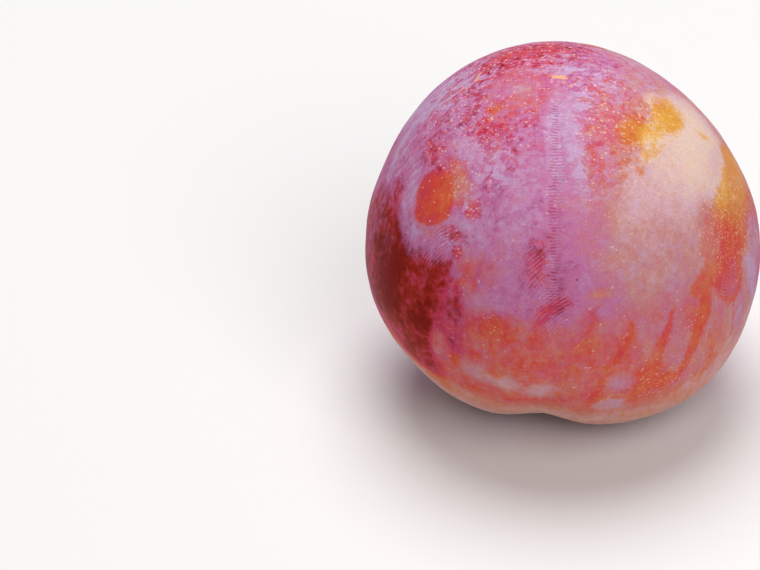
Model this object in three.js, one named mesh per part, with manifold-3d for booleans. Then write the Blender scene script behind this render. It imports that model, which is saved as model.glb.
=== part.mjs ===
// A whole ripe dessert plum, picked without its stalk, standing on its stem end.
//
// Frame: millimetres, +Z up. The plum stands on the plane Z = 0 and is centred over the origin.
// The suture, the seam down one side of a plum, faces -Y. The right cheek is on +X.
//
// The fruit is one solid. Its surface is a radius given for every direction from its core:
// an egg-like body, swollen into two cheeks and a few shoulders, then pressed in along the
// suture, at the style scar on the crown and at the hollow where the stalk grew.
import * as THREE from "three";
import { mergeVertices } from "three/addons/utils/BufferGeometryUtils.js";
import Module from "manifold-3d";

// Body: half axes of the egg, from the core.
const HALF_WIDTH = 25.1;
const HALF_DEPTH = 26.3;
const CROWN_RISE = 27.0;
const HEEL_DROP = 26.45;

// Swellings and flats. Directions are in degrees: azimuth from the suture, positive towards the
// right cheek, and elevation above the core. Rise is in millimetres, and spread is the angle in
// degrees at which a swelling has fallen to about a third.
const SWELLINGS = [
  { name: "right cheek", azimuth: 90, elevation: 0, rise: 1.9, spread: 34 },
  { name: "left cheek", azimuth: -84, elevation: -8, rise: 1.8, spread: 34 },
  { name: "low right cheek", azimuth: 57, elevation: -37, rise: 2.45, spread: 34 },
  { name: "left shoulder", azimuth: -130, elevation: 42, rise: 0.7, spread: 34 },
  { name: "right shoulder", azimuth: 118, elevation: 33, rise: -0.35, spread: 34 },
  { name: "cleft under the suture", azimuth: 8, elevation: -54, rise: -1.55, spread: 34 },
  { name: "low back", azimuth: 180, elevation: -35, rise: 0.4, spread: 40 },
  { name: "left heel", azimuth: -75, elevation: -64, rise: 1.05, spread: 20 },
  { name: "right heel", azimuth: 95, elevation: -64, rise: -0.6, spread: 20 },
];

// Suture: a faint line on the crown that widens and deepens down to the stem hollow.
const SUTURE_AZIMUTH = -1.5;
const SUTURE_DRIFT = -8; // how far it has wandered to the left at its low end, in degrees
const SUTURE_TOP = { elevation: 10, depth: 0.14, halfWidth: 1.7 };
const SUTURE_LOW = { elevation: -54, depth: 1.5, halfWidth: 4.8 };
const SUTURE_FADE = {
  crownStart: 74,
  crownEnd: 90,
  heelStart: -78,
  heelEnd: -90,
  sideStart: 60,
  sideEnd: 90,
};

// Stem hollow, a little off the fruit's axis, and the dimple round the style scar on the crown.
const STEM_HOLLOW = { azimuth: -100, elevation: -86.5, depth: 6.8, spread: 15 };
const STYLE_DIMPLE = { azimuth: -160, elevation: 86.5, depth: 0.55, spread: 6.5 };

// Resting flat: the plane that trims the rim of the stem hollow, below the core.
const REST_DROP = 23.55;

// Mesh: columns round the fruit and rows from crown to heel, crowded towards the suture and
// towards the stem hollow.
const COLUMNS = 96;
const ROWS = 54;
const COLUMN_CROWDING = 0.45;
const ROW_CROWDING = 0.3;

const SKIN_COLOUR = "#b9677f";
const SKIN_ROUGHNESS = 0.55;

const radians = THREE.MathUtils.degToRad;
const degrees = THREE.MathUtils.radToDeg;
const smooth = (value, start, end) => THREE.MathUtils.smoothstep((value - start) / (end - start), 0, 1);
const bell = (distance, width) => Math.exp(-((distance / width) ** 2));

// The unit vector at an azimuth from the suture and an elevation, both in degrees.
function directionAt({ azimuth, elevation }) {
  const across = Math.cos(radians(elevation));
  return new THREE.Vector3(
    across * Math.sin(radians(azimuth)),
    -across * Math.cos(radians(azimuth)),
    Math.sin(radians(elevation)),
  );
}

// The egg's radius in a direction.
function bodyRadius(direction) {
  const halfHeight = direction.z > 0 ? CROWN_RISE : HEEL_DROP;
  return 1 / Math.hypot(direction.x / HALF_WIDTH, direction.y / HALF_DEPTH, direction.z / halfHeight);
}

// How far the cheeks, shoulders and heels stand out in a direction.
function swell(direction) {
  return SWELLINGS.reduce((sum, swelling) => {
    const nearness = direction.dot(directionAt(swelling)) - 1;
    return sum + swelling.rise * Math.exp(nearness / (1 - Math.cos(radians(swelling.spread))));
  }, 0);
}

// How deep the suture is in a direction, on a body of that radius.
function sutureDepth(direction, radius) {
  const elevation = degrees(Math.asin(THREE.MathUtils.clamp(direction.z, -1, 1)));
  const lowness = smooth(elevation, SUTURE_TOP.elevation, SUTURE_LOW.elevation);
  const wander = SUTURE_DRIFT * smooth(elevation, 0, SUTURE_LOW.elevation);
  const azimuth = degrees(Math.atan2(direction.x, -direction.y));
  const aside = azimuth - SUTURE_AZIMUTH - wander;
  const distance = radius * Math.cos(radians(elevation)) * Math.sin(radians(aside));
  const halfWidth = THREE.MathUtils.lerp(SUTURE_TOP.halfWidth, SUTURE_LOW.halfWidth, lowness);
  const depth = THREE.MathUtils.lerp(SUTURE_TOP.depth, SUTURE_LOW.depth, lowness);
  const front = smooth(Math.abs(aside), SUTURE_FADE.sideEnd, SUTURE_FADE.sideStart);
  const below = smooth(elevation, SUTURE_FADE.crownEnd, SUTURE_FADE.crownStart);
  const above = smooth(elevation, SUTURE_FADE.heelEnd, SUTURE_FADE.heelStart);
  return depth * front * below * above * bell(distance, halfWidth);
}

// How deep a round hollow is in a direction.
function hollowDepth(hollow, direction) {
  return hollow.depth * bell(degrees(direction.angleTo(directionAt(hollow))), hollow.spread);
}

// The skin's point in a direction from the core.
function skinPoint(direction) {
  const radius = bodyRadius(direction) + swell(direction);
  const pressed =
    sutureDepth(direction, radius) +
    hollowDepth(STEM_HOLLOW, direction) +
    hollowDepth(STYLE_DIMPLE, direction);
  return direction.clone().multiplyScalar(radius - pressed);
}

// The direction of a grid point: u goes once round from the suture and v from crown to heel.
function gridDirection(u, v) {
  const turn = u * 2 * Math.PI;
  const fall = v * Math.PI;
  const azimuth = degrees(turn - COLUMN_CROWDING * Math.sin(turn));
  const elevation = 90 - degrees(fall + ROW_CROWDING * Math.sin(fall) * Math.sin(fall / 2));
  return directionAt({ azimuth, elevation });
}

// The whole fruit as a closed geometry round its core.
function fruitGeometry() {
  const sphere = new THREE.SphereGeometry(1, COLUMNS, ROWS);
  const grid = sphere.attributes.uv;
  const skin = sphere.attributes.position;
  for (let i = 0; i < skin.count; i++) {
    const row = 1 - grid.getY(i);
    const column = Math.round(grid.getX(i) * COLUMNS) / COLUMNS;
    const point = skinPoint(gridDirection(column % 1, row));
    skin.setXYZ(i, point.x, point.y, point.z);
  }
  return sphere;
}

// A geometry as a manifold-3d solid.
function solidOf(wasm, geometry) {
  const bare = geometry.clone();
  bare.deleteAttribute("normal");
  bare.deleteAttribute("uv");
  const merged = mergeVertices(bare);
  return new wasm.Manifold(
    new wasm.Mesh({
      numProp: 3,
      vertProperties: merged.attributes.position.array,
      triVerts: new Uint32Array(merged.index.array),
    }),
  );
}

// A manifold-3d solid as a geometry.
function geometryOf(solid) {
  const mesh = solid.getMesh();
  const geometry = new THREE.BufferGeometry();
  geometry.setAttribute("position", new THREE.BufferAttribute(mesh.vertProperties, 3));
  geometry.setIndex(new THREE.BufferAttribute(mesh.triVerts, 1));
  geometry.computeVertexNormals();
  return geometry;
}

// The ground that the fruit stands in, from the resting plane down.
function groundGeometry() {
  const side = 4 * HALF_WIDTH;
  return new THREE.BoxGeometry(side, side, side).translate(0, 0, -REST_DROP - side / 2);
}

const wasm = await Module();
wasm.setup();

const fruit = solidOf(wasm, fruitGeometry()).subtract(solidOf(wasm, groundGeometry()));
const fruitShape = geometryOf(fruit);
fruitShape.computeBoundingBox();
const middle = fruitShape.boundingBox.getCenter(new THREE.Vector3());
fruitShape.translate(-middle.x, -middle.y, REST_DROP);

const plum = new THREE.Mesh(
  fruitShape,
  new THREE.MeshStandardMaterial({ color: SKIN_COLOUR, roughness: SKIN_ROUGHNESS, metalness: 0 }),
);
plum.name = "plum";

const part = new THREE.Group();
part.add(plum);

export default part;
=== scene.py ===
"""A ripe dessert plum on a pale studio floor: one closed skin with its suture, style scar, stem
hollow, waxy bloom, rubbed marks and lenticels, shaped and painted round the fruit's core."""
import math

import bpy
import numpy as np
from bpy.props import FloatProperty, FloatVectorProperty, IntProperty, PointerProperty
from mathutils import Matrix, Vector


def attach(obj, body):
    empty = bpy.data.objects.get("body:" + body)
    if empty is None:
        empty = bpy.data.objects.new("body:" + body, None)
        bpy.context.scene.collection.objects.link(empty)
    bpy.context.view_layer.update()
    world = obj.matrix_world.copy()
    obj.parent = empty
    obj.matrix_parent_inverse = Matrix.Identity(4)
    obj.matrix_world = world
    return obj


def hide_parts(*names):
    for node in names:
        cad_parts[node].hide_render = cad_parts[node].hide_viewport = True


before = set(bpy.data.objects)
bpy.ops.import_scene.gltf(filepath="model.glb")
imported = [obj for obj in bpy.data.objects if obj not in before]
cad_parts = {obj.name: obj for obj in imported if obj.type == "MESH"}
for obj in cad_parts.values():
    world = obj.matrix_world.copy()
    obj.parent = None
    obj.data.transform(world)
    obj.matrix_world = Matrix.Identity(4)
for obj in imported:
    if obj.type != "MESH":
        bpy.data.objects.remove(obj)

bl_info = {
    "name": "Dessert Plum",
    "version": (1, 0, 0),
    "blender": (4, 5, 0),
    "location": "3D View > Sidebar > Plum",
    "description": "Models a ripe dessert plum with its bloom, suture and scars, and a studio stage",
    "category": "Object",
}

MM = 0.001
BODY = "root"
NODE = "plum"
SKIN_SLOT = "plum_skin"
FRUIT_NAME = "plum_skin"
FRUIT_RADIUS = 26.5  # mm, on average, used to lay marks out on the skin
CORE = Vector((-0.22, -0.23, 23.55)) * MM  # azimuths and elevations are seen from here

# Stage and camera.
SENSOR_WIDTH = 36.0  # mm
CORE_RIGHT_OF_CENTRE = 24.75 * MM  # where the core stands in the camera's view
CORE_ABOVE_CENTRE = 6.28 * MM
FLOOR_SIZE = 3  # metres
FLOOR_GREY = 0.86
FLOOR_ROUGHNESS = 0.9
FLOOR_SPECULAR = 0.1
WORLD_STRENGTH = 0.2
# Soft lamps: (name, azimuth, elevation, distance and diameter in metres, power in watts, colour).
LIGHTS = [
    ("overhead", 185, 75, 0.8, 0.6, 5.3, (1.0, 0.99, 0.98)),
    ("front", 30, 47, 0.8, 0.6, 2.62, (1.0, 0.99, 0.97)),
]

# Marks on the skin. Azimuth is in degrees from the suture, positive to the right of someone who
# faces it; elevation is in degrees above the core; half widths and heights are in millimetres.

# Pigment in the skin, from 0 for gold to 1 for maroon, as PIGMENTS lists it; some strokes also paint
# shadow and bounce light, as marked.
# Each stroke is painted over the last: (name, azimuth, elevation, half width, half height, value,
# softness, turn if any).
BLUSH_BASE = 0.77
BLUSH_STROKES = [
    ("crown", -105, 70, 15, 9, 0.76, 8),
    ("crown's back", -160, 72, 8, 5, 0.75, 4),
    ("crown drops", -46, 63.5, 3, 2.4, 0.69, 3, 20),
    ("salmon patch", -74, 77.5, 5.6, 5.6, 0.69, 2.5),
    ("salmon heart", -69, 77.6, 1.4, 0.9, 0.44, 3, 57),
    ("orange spot", -62, 68, 0.9, 1.2, 0.6, 1.2),
    ("pale cheek", 58, 32, 16, 13, 0.29, 11, -30),
    ("cream cheek", 76, 44, 8, 7, 0.12, 9, -35),
    ("pale right limb", 97, 46, 4, 6.4, 0.1, 4, -30),
    ("behind the crown", 142, 58, 9, 3.4, 0.52, 4),
    ("pale cheek low", 44, 17, 12, 7, 0.46, 9, -15),
    ("rosy flecks high", 92, 67, 5, 3, 0.5, 3),
    ("crown right", 66, 72, 6, 4, 0.6, 4),
    ("rosy flecks", 38, 66, 5, 4, 0.57, 4, 30),
    ("rosy flecks low", 18, 58, 2.4, 4.6, 0.6, 3, 20),
    ("lower right", 28, -12, 17, 11, 0.525, 9),
    ("low front", -14, -10, 15, 10, 0.56, 8),
    # A paler band along the bottom rim: painted light bounced up from the floor.
    ("low rim", 4, -36, 15, 3.4, 0.46, 5),
    ("low right", 64, -16, 6, 8, 0.44, 6),
    ("low right limb", 63, -6, 1.8, 4, 0.58, 3, 10),
    ("dusty pink", 38, 6, 8, 5, 0.56, 6),
    ("low left", -36, 0, 7, 7, 0.58, 6),
    ("low left rim", -34, -14, 4.2, 2.2, 0.5, 3, -37),
    ("left of the heel", -62, -29, 6, 5, 0.6, 5),
    ("heel", 0, -58, 30, 12, 0.24, 10),
    ("back", 175, 12, 17, 16, 0.86, 9),
    ("left cheek's back", -128, 8, 9, 13, 0.93, 8),
    ("right cheek's back", 116, 24, 7, 10, 0.36, 8, 10),
    ("low back", 180, -32, 26, 7, 0.56, 7),
    ("low back gold", 150, -26, 5, 4, 0.3, 5, 20),
    ("stem hollow", -100, -86, 9, 9, 0.2, 6),
    ("left edge", -79, 14, 4, 9, 0.85, 5, -10),
    # From here down to the rose side, the dark red at the lower left is partly the skin's own maroon and
    # partly painted shadow.
    ("lower left maroon", -60, 5, 5.2, 7.6, 1.08, 7, 12),
    ("maroon's back", -75, -5, 2.6, 3.6, 0.88, 4, 30),
    ("low maroon", -48, -4, 3.2, 7, 0.87, 4, 5),
    ("maroon's foot", -52.5, -14.5, 5, 3.4, 0.88, 3, -30),
    ("maroon's ember", -47, -2, 2.2, 3, 0.93, 2),
    ("maroon veil", -41, 11.5, 2.6, 5, 0.93, 2.4, -8),
    ("red below veil", -38.2, 8.6, 1.8, 3.2, 0.88, 1.6),
    ("maroon's rose side", -35.5, 6.5, 2.6, 7, 0.82, 3),
    ("orange veil", -27.5, 22, 3.6, 3.0, 0.66, 2.5, 20),
    ("tan patch", 12, 19, 1.6, 0.6, 0.46, 1.2),
    ("finger rub", -3, 15.5, 3.4, 2.2, 0.8, 3, 35),
    ("suture rub", -8.5, 28, 1.5, 3.6, 0.79, 3, -5),
    ("window", -54, 38, 4.4, 5.2, 0.63, 2),
    ("window's heart", -53, 40.5, 2.2, 2.6, 0.53, 3, 30),
    ("window's fringe", -48, 45, 3.6, 1.8, 0.48, 2, -26),
    ("window's top", -66, 47, 3.4, 2.2, 0.74, 2),
    ("amber spot", 52, 62, 3.0, 2.3, 0.3, 2),
    ("amber heart", 47, 60, 1.2, 0.9, 0.39, 1.2),
    ("gold spot", 83, 58, 3.9, 3.4, 0.13, 2, -20),
    ("gold spot high", 90, 60.5, 1.6, 0.9, 0.27, 1.6),
    ("flecks by the gold", 70, 65, 2.0, 1.3, 0.46, 2),
    ("link of gold", 60, 57, 3.0, 1.8, 0.08, 2),
    ("link's foot", 50, 54, 2.0, 1.2, 0.14, 1.5),
    ("orange fleck", 38, 51, 0.6, 0.5, 0.34, 0.6),
    ("gold band", 86, 29, 6.4, 3.8, 0.24, 3, -30),
    ("band's yellow edge", 76, 31, 3.0, 0.9, 0.12, 1.6, 26),
    ("salmon band", 57, 22, 2.6, 4.4, 0.46, 3, -10),
    ("red band", 62, 14, 3.4, 4.4, 0.57, 3.4, -20),
    ("by the band", 80, 8, 3.2, 4.2, 0.57, 3, 10),
    ("ringed print", 58.5, 7, 2.4, 2.6, 0.62, 1.6),
    ("left island", -39.5, -7.5, 1.5, 3.0, 0.58, 1.8),
    ("low left island", -26, -12.4, 2.8, 1.7, 0.48, 2, -10),
    ("low island", -17, -14.6, 2.0, 1.7, 0.42, 2),
    ("front island", -6, -17.8, 2.4, 1.6, 0.42, 2),
    ("right island", 16, -24, 3, 2, 0.45, 2),
    ("band's orange end", 48, 12, 2.2, 1.6, 0.47, 2),
]

# Thickness of the bloom: 0 none, 0.6 the usual veil, over 1 thick and bluish; some strokes also paint
# shadow and bounce light, as marked.
BLOOM_BASE = 0.7
BLOOM_STROKES = [
    ("crown", -105, 70, 15, 9, 0.76, 8),
    ("crown's back", -155, 71, 8, 3.4, 0.5, 3, 10),
    ("thick crown behind", 175, 77, 2.6, 1.4, 0.9, 2),
    ("crown drops", -46, 63.5, 3, 2.4, 0.54, 3, 20),
    ("red shoulder", -100, 58, 1.2, 2.6, 0.3, 2.4, -40),
    ("salmon patch", -74, 77.5, 5.6, 5.6, 0.5, 2.5),
    ("salmon heart", -69, 77.6, 1.4, 0.9, 0.98, 3, 57),
    ("crown right", 85, 75, 9, 5.4, 0.85, 6, 20),
    ("pale right limb", 102, 50, 3.4, 7, 0.7, 3, -30),
    ("rosy rim", 102, 64.5, 3.2, 2.2, 0.86, 3),
    ("behind the crown", 142, 58, 9, 3.4, 0.92, 4),
    ("rosy flecks", 40, 67, 4.4, 3.4, 0.7, 4, 30),
    ("rosy flecks low", 19, 58, 2.2, 4.4, 0.74, 3, 20),
    ("low half", 0, -18, 60, 13, 0.26, 10),
    # More bloom along the bottom rim: painted light bounced up from the floor.
    ("low rim", 4, -36, 15, 3.4, 0.42, 5),
    ("pale cheek", 66, 38, 13, 10, 0.68, 6),
    ("pale cheek low", 38, 24, 9, 5, 0.76, 5, -20),
    ("above the cheek", -2, 55, 2, 4, 0.8, 3),
    ("left of the suture", -28, 44, 7.5, 9, 0.83, 6),
    ("low left", -34, 2, 7, 8, 0.26, 5),
    ("low left rim", -34, -14, 4.2, 2.2, 0.2, 3, -37),
    ("left edge", -79, 14, 4, 9, 0.22, 4, -10),
    # From here down to the rose side, the bloom over the lower left's dark red is laid thin or stripped;
    # that dark red is partly the skin's own maroon and partly painted shadow.
    ("lower left", -58, 4, 5.4, 8.4, -0.7, 8, 10),
    ("lower left foot", -49, -6, 2.4, 7, -0.9, 4, 10),
    ("lower left rim", -60, -27, 3.4, 3, 0.4, 3, -30),
    ("maroon's foot", -52.5, -14.5, 5, 3.4, -0.12, 3, -30),
    ("maroon veil", -41, 11.5, 2.4, 4.8, -0.02, 2.4, -8),
    ("red below veil", -38.2, 8.6, 1.6, 3.2, -0.1, 1.6),
    ("veil above maroon", -58, 21, 3.2, 1.5, 0.62, 2, -20),
    ("veil left of maroon", -67, 8, 3.6, 8, 0.13, 5, 8),
    ("maroon's rose side", -35.5, 7, 2.2, 6, 0.14, 3),
    ("back veil", 170, 34, 13, 8, 0.9, 6),
    ("back rub", -152, 6, 4, 8, 0.2, 5, 15),
    ("back right rub", 136, -4, 4, 6, 0.25, 4, -10),
    ("left cheek rub", -112, -8, 4, 9, 0.05, 5),
    ("thick back left", -170, 48, 5, 3, 1.05, 3),
    ("thick back right", 150, 9, 3, 6, 1.0, 4),
    ("thick low back", -172, -20, 6, 3, 0.95, 3),
    ("stem hollow", -100, -86, 8, 8, 0.72, 4),
    ("thick left limb", -108, 48, 4.0, 8.6, 1.12, 4, -10),
    ("thick left rim", -92, 36, 1.5, 5.4, 1.1, 2, 31),
    ("left limb streak", -86, 36, 1.7, 4.6, 0.86, 2, 35),
    ("left of the window", -74, 39.5, 2.2, 1.3, 0.95, 1.5),
    ("thick by the window", -66, 30.5, 1.5, 3.4, 0.92, 1.4, 20),
    ("thick below the window", -56, 25, 3.4, 1.4, 0.85, 2.5, -10),
    ("thick upper left", -51, 53, 5.0, 2.4, 0.92, 2.5, -10),
    ("thick above the drop", -29, 52, 2.6, 1.6, 0.98, 2),
    ("thick behind the scar", 156, 85.3, 4.8, 0.9, 1.15, 1.2, 24),
    ("thick suture left", -4.5, 68, 1.2, 7, 1.04, 1.5, 3),
    ("thick suture right", 29, 78, 1.8, 2.6, 1.05, 2, -29),
    ("thick by the suture", 9, 64, 1.3, 7, 1.12, 1.8, 3),
    ("right limb", 73, 0, 2.8, 11, 1.0, 4.4, 8),
    ("between the drips", 54, 1.5, 1.5, 2.2, 1.0, 1.5),
    ("orange veil", -27.5, 22, 3.4, 2.8, 0.42, 2.5, 20),
    ("below the veil", -22, 14.5, 3.4, 1.6, 0.68, 2, 10),
    ("tan patch", 12, 19, 1.6, 0.8, 0.42, 1.2),
    ("finger rub", -3, 15.5, 3.0, 1.8, 0.55, 2, 35),
    ("suture rub", -8.5, 28, 1.3, 3.2, 0.6, 2, -5),
    ("window", -54, 38, 3, 3.4, -0.1, 3),
    ("window's top", -66, 47, 3.2, 2.0, 0.42, 2.4),
    ("amber spot", 52, 62, 2.4, 1.8, 0.0, 2),
    ("gold spot", 79, 56.5, 2.8, 2.2, 0.0, 2, -20),
    ("right band", 73, 19, 6, 4.8, 0.33, 2.5, -20),
    ("top of the band", 92, 29, 2.4, 2.6, 0.08, 2),
    ("by the band", 80, 8, 3.2, 4.2, 0.84, 3, 10),
    ("ringed print", 58.5, 7, 2.2, 2.4, 0.26, 1.6),
    ("left island", -39.5, -7.5, 1.4, 2.8, 0.4, 1.8),
    ("low left island", -26, -12.4, 2.8, 1.7, 0.68, 2, -10),
    ("low island", -17, -14.6, 2.0, 1.7, 0.8, 2),
    ("front island", -6, -17.8, 2.4, 1.6, 0.86, 2),
    ("right island", 16, -24.4, 2.6, 1.8, 0.85, 2),
    ("far right island", 18, -14, 1.8, 1.6, 0.72, 2),
    ("grey by the drips", 26, 1, 2.0, 4.4, 0.54, 2, 20),
    ("drip's fan", 23.5, -3.6, 1.6, 2.2, 0.5, 1.5),
    ("by the drips", 36, -5, 2.6, 8.0, 0.56, 3, 20),
    ("pale low right", 56, -12, 6, 8, 0.54, 3, -20),
    ("low right limb", 63, -6, 1.8, 4, 0.86, 3, 10),
]

# Breaking of the bloom into flecks, from 0 to 1.
FLECK_BASE = 0.14
FLECK_STROKES = [
    ("crown", -108, 70, 18, 11, 0.75, 8),
    ("crown's back", -150, 70, 12, 6, 1.0, 4),
    ("salmon patch", -74, 77.5, 5, 5, 0.25, 3),
    ("crown right", 75, 74, 9, 6, 0.7, 6),
    ("rosy rim", 102, 65, 4, 3, 0.25, 3),
    ("rosy flecks", 40, 64, 9, 4.6, 0.58, 4, 35),
    ("gold and amber", 66, 60, 7, 4, 0.7, 4),
    ("upper left", -66, 59, 6, 4, 0.7, 4),
    ("upper left drops", -36, 51.5, 1.3, 1.5, 0.9, 1.2),
    ("smooth upper left", -54, 53, 4.4, 2.0, 0.08, 2, -10),
    ("by the window", -48, 45, 3.6, 1.8, 0.3, 1.6, -26),
    ("pale cheek", 60, 34, 9, 9, 0.15, 6),
    ("right band", 72, 18, 8, 6, 0.5, 3, -20),
    ("low half", 0, -12, 50, 14, 0.08, 8),
    ("round the suture", 0, 74, 2.4, 6, 0.15, 2),
    ("back", 180, 45, 14, 6, 0.6, 6),
    ("back low", 165, -10, 12, 8, 0.35, 6),
]

# Smears, where the bloom is broken into upright streaks, from 0 to 1.
SMEAR_BASE = 0.15
SMEAR_STROKES = [
    ("left edge", -84, 20, 6, 12, 0.6, 6, -15),
    ("lower left", -48, 2, 9, 11, 0.55, 7),
    ("low half", 0, -14, 55, 12, 0.2, 8),
    ("beside the suture", -14, 40, 8, 14, 0.2, 6),
    ("left cheek's back", -130, 10, 9, 14, 0.8, 6),
    ("low back", 180, -28, 26, 8, 0.5, 6),
]

# Lenticels: how thickly the pale dots stand, from 0 to 1.
DOT_BASE = 0.03
DOT_STROKES = [
    ("crown", -110, 71, 16, 9, 0.8, 8),
    ("salmon patch", -55, 75, 6, 4, 0.45, 4),
    ("crown right", 75, 72, 11, 8, 0.8, 6),
    ("by the style scar", 24, 86, 1.5, 1.0, 1.6, 1),
    ("rosy flecks", 32, 62, 7, 8, 0.8, 5, 25),
    ("rosy flecks low", 22, 57, 3.4, 3.4, 1.1, 2),
    ("cream cheek", 70, 48, 9, 9, 0.5, 6),
    ("right of the suture", 20, 46, 6, 8, 0.2, 6),
    ("low half", 0, -12, 50, 14, 0.08, 8),
    ("lower left", -60, 2, 8, 12, 0.0, 3),
    ("window", -54, 37, 3.6, 4.6, 0.16, 2),
    ("by the window", -48, 45, 3.4, 1.7, 1.7, 1.2, -26),
    ("window's top", -67, 47, 3, 2, 0.95, 2),
    ("window's drop", -35, 40, 1.4, 1.6, 1.5, 1),
    ("under the window", -38, 29, 2.6, 1.6, 0.9, 1.5),
    ("low left flecks", -21, 6, 3, 2, 0.5, 2),
    ("right band", 72, 19, 9, 6.6, 1.1, 4, -15),
    ("drips", 36, -8, 6, 6, 0.4, 4),
    ("drips' foot", 30, -17, 4, 2.4, 0.9, 2),
    ("back", 160, 20, 9, 7, 0.3, 6),
]

# Bare marks, where the bloom is rubbed off. Spots: (name, azimuth, elevation, half width, half
# height, raggedness in mm, turn if any).
SPOTS = [
    ("window", -54, 37.2, 3.5, 3.9, 0.5, 42),
    ("window's corner", -56, 31, 1.5, 1.3, 0.5),
    ("window's drop", -35, 40, 1.2, 1.4, 0.9),
    ("window's speck", -36, 26.5, 0.8, 1.1, 1.0),
    ("window's speckles", -39, 31, 1.6, 0.8, 2.0),
    ("red crown mark", 163, 77.5, 0.7, 1.2, 0.9),
    ("orange spot", -62, 68, 0.6, 0.9, 1.4),
    ("crown drops", -46, 63.5, 1.5, 1.3, 3.2, 20),
    ("rosy flecks", 42, 65.5, 3.0, 2.4, 3.4, 30),
    ("rosy flecks high", 78, 67, 1.8, 1.2, 3.4),
    ("rosy flecks low", 20, 57, 0.7, 1.8, 2.6, 20),
    ("crown drop left", -69, 59.5, 0.6, 0.5, 1.2),
    ("crown drop high", -73, 62.5, 0.5, 0.5, 1.2),
    ("crown drop right", -27, 60, 0.5, 0.5, 1.0),
    ("amber spot", 52, 62, 2.5, 2.1, 2.4, -10),
    ("gold spot", 84, 58, 3.2, 2.7, 2.6, -25),
    ("flecks by the gold", 70, 64.5, 1.5, 1.0, 3.2),
    ("link of gold", 62, 57.6, 2.0, 1.1, 1.9),
    ("link's foot", 52, 54.5, 1.9, 0.8, 2.0),
    ("golden smear", 87, 43, 0.5, 0.9, 1.2, 20),
    ("orange fleck", 39, 51, 0.35, 0.6, 0.8),
    ("drip's fan", 22.5, -3, 1.4, 2.4, 1.2, 15),
    ("low red front", -2, -19, 1.0, 0.8, 1.4),
    ("low red left", -33.5, -10, 0.8, 1.5, 1.2),
    ("low red middle", -26, -5, 0.8, 0.9, 1.4),
    ("low red", -21, -11, 1.1, 0.8, 1.8),
    ("low red foot", -15, -24, 1.2, 0.6, 1.8),
    ("low red beneath", -27, -22, 1.3, 0.8, 1.8),
    ("red patch", -18.5, 7, 2.3, 1.9, 2.6),
    ("small red patch", -8, 5, 0.8, 1.0, 1.6),
    ("suture rub", -8, 29, 1.1, 2.2, 3.0),
    ("tongue left", -51, 15, 0.9, 2.0, 1.4, 20),
    ("tongue right", -46.5, 18.5, 1.0, 1.1, 1.4, 20),
    ("back window", 168, 23, 2.4, 3.0, 1.3, -35),
    ("back window's foot", 173, 17, 1.6, 1.2, 1.3, 20),
    ("back window's fringe", 158, 27, 2.2, 1.2, 2.0),
    ("left cheek scuff", -119, 31, 1.1, 2.6, 1.4, 20),
    ("low back scuff", 172, -24, 2.6, 1.0, 1.8, 10),
]
# Streaks: (name, raggedness in mm, stop, stop, ...), with stops as (azimuth, elevation, half width).
STREAKS = [
    ("window's fringe", 2.0, (-59, 49, 0.4), (-50, 48, 0.9), (-43, 44.5, 1.1), (-41, 40, 0.6)),
    ("crown's back", 3.0, (-118, 64, 1.2), (-134, 67, 2.4), (-155, 70, 3.0), (178, 73, 2.2)),
    ("shoulder rub", 0.9, (-102, 60, 0.4), (-100, 53, 0.6)),
    ("right band", 1.0, (100, 27, 1.4), (91, 25.5, 3.2), (80, 24, 4.0), (71, 22, 4.5), (61, 18.5, 4.8)),
    ("right band's foot", 1.0, (61, 18, 4.8), (59.5, 13, 4.1), (59.5, 6.5, 3.2), (60, 3, 2.2)),
    ("right band's end", 0.8, (54, 13, 2.2), (48, 12, 1.6), (44.5, 11, 1.1)),
    ("drip from the band", 0.8, (48, 8, 0.9), (47, 3, 1.3), (43.5, -3, 1.1), (41, -9, 0.85),
     (37, -17, 0.7)),
    ("drips' foot", 1.3, (37, -16.5, 1.0), (31, -16, 1.6), (26, -16, 1.5), (21.5, -24, 0.6)),
    ("middle drip", 0.8, (35.5, 9.5, 0.2), (34, 5, 0.5), (31.5, 0, 0.8), (29, -5, 1.1), (27, -11, 1.7)),
    ("short drip", 0.8, (21.5, 8.5, 0.35), (21, 4, 0.7), (19, 0, 0.85), (16, -4.5, 0.5)),
    ("front drip", 1.8, (10, 14, 0.7), (9.5, 10, 0.9), (8, 5, 0.7), (4, -4, 0.3)),
    ("right hairline", 0.6, (60, 1, 0.2), (59, -12, 0.12)),
    ("low patch right", 1.0, (11, -20, 0.35), (21, -21, 0.3)),
    ("right low rub", 2.2, (50, -9, 0.4), (50, -17, 0.8), (46, -23, 0.5)),
    ("low patch middle", 1.2, (12, -12, 0.5), (12, -16, 0.6), (10.5, -20, 0.9), (9, -25, 0.7)),
    ("finger rub", 1.0, (-8, 10, 0.5), (-4, 14.5, 1.0), (1, 17, 0.9), (4, 17, 0.3)),
    ("rub below the veil", 1.2, (-37, 24, 0.3), (-39.5, 18, 0.5), (-38.4, 12, 1.0), (-38.4, 7.5, 1.1)),
    ("low left tongue", 2.4, (-47, 7, 1.5), (-45.5, 0, 1.9), (-45, -6, 1.5), (-46, -12, 0.9),
     (-47, -18, 0.3)),
    ("back scuff", 1.2, (-163, -8, 0.4), (-153, 3, 1.0), (-148, 13, 0.4)),
    ("back drip", 0.9, (127, 2, 0.5), (131, -12, 1.0), (129, -22, 0.6)),
    ("crown scuff behind", 1.2, (150, 62, 0.3), (166, 57, 0.9), (178, 58, 0.3)),
]

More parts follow.
